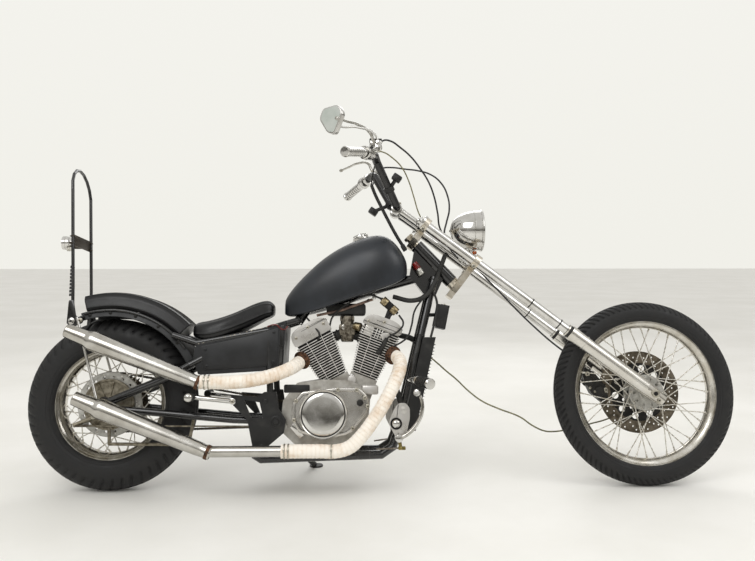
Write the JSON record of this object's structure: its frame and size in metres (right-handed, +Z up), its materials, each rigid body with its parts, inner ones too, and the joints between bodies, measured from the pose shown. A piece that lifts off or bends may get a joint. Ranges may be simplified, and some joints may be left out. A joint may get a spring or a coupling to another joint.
{
  "type": "chopper motorcycle",
  "caption": "Long-fork chopper motorcycle with a vee engine, wrapped exhaust pipes, high bars, sissy bar and side stand; both wheels, the fork and the stand move.",
  "frame": {"origin": "centre of the bounding box on the ground the tyres and stand rest on", "axes": "+X forward towards the front wheel, +Y to the rider's left, towards the side stand, +Z up; the machine leans about 8 degrees towards +Y on its stand"},
  "size_m": [2.6838, 0.7866, 1.4085],
  "materials": {
    "gloss_black_paint": "gloss",
    "satin_black_paint": "satin",
    "tank_paint": "matte",
    "leather_black": "satin",
    "chrome_plate": "polished",
    "cast_aluminium": "satin",
    "dark_steel": "satin",
    "exhaust_wrap": "matte",
    "tyre_rubber": "matte",
    "black_rubber": "matte",
    "red_lens": "gloss"
  },
  "bodies": {
    "frame": {"frame_top": "gloss_black_paint", "down_tubes": "gloss_black_paint", "lower_rails": "gloss_black_paint", "pivot_plates": "gloss_black_paint", "swingarm": "gloss_black_paint", "rear_axle": "chrome_plate", "fuel_tank": "tank_paint", "fuel_cap": "chrome_plate", "rider_seat": "leather_black", "passenger_seat": "leather_black", "rear_fender": "satin_black_paint", "sissy_bar": "gloss_black_paint", "fender_struts": "chrome_plate", "tail_lamp": "red_lens", "battery_box": "satin_black_paint", "crankcase": "cast_aluminium", "engine_covers": "cast_aluminium", "cylinders": "cast_aluminium", "carburettors": "dark_steel", "ignition_coil": "dark_steel", "radiator": "satin_black_paint", "regulator": "satin_black_paint", "exhaust_pipes": "exhaust_wrap", "mufflers": "chrome_plate", "forward_controls": "chrome_plate", "foot_levers": "cast_aluminium", "passenger_pegs": "chrome_plate", "rear_brake": "dark_steel", "drive_chain": "dark_steel", "speedo_cable_frame": "black_rubber"},
    "fork": {"upper_tree": "cast_aluminium", "lower_tree": "cast_aluminium", "fork_tubes": "chrome_plate", "fork_sliders": "cast_aluminium", "front_axle": "chrome_plate", "headlight": "chrome_plate", "risers": "chrome_plate", "handlebar": "gloss_black_paint", "grips": "chrome_plate", "bar_controls": "cast_aluminium", "bar_mirror": "chrome_plate", "front_caliper": "gloss_black_paint", "brake_hose": "black_rubber", "clutch_cable": "black_rubber", "throttle_cable": "black_rubber", "speedo_cable_fork": "black_rubber"},
    "front_wheel": {"front_tyre": "tyre_rubber", "front_wheel": "chrome_plate", "front_disc": "dark_steel"},
    "rear_wheel": {"rear_tyre": "tyre_rubber", "rear_wheel": "chrome_plate", "rear_sprocket": "dark_steel"},
    "side_stand": {"side_stand": "gloss_black_paint"}
  },
  "joints": [
    {"name": "steering", "type": "hinge", "parent": "frame", "child": "fork", "pos_m": [0.192, -0.05738, 0.83912], "axis": [-0.6884, 0.1047, 0.7178], "range_deg": [-30, 30]},
    {"name": "front_wheel_spin", "type": "hinge", "parent": "fork", "child": "front_wheel", "pos_m": [0.9945, -0.12956, 0.34433], "axis": [0, 0.9895, -0.1444], "continuous": true},
    {"name": "rear_wheel_spin", "type": "hinge", "parent": "frame", "child": "rear_wheel", "pos_m": [-1.0255, -0.134, 0.31392], "axis": [0, 0.9895, -0.1444], "continuous": true},
    {"name": "stand_fold", "type": "hinge", "parent": "frame", "child": "side_stand", "pos_m": [-0.335, -0.01771, 0.09965], "axis": [0.1084, 0.5513, 0.8272], "range_deg": [0, 100]}
  ]
}
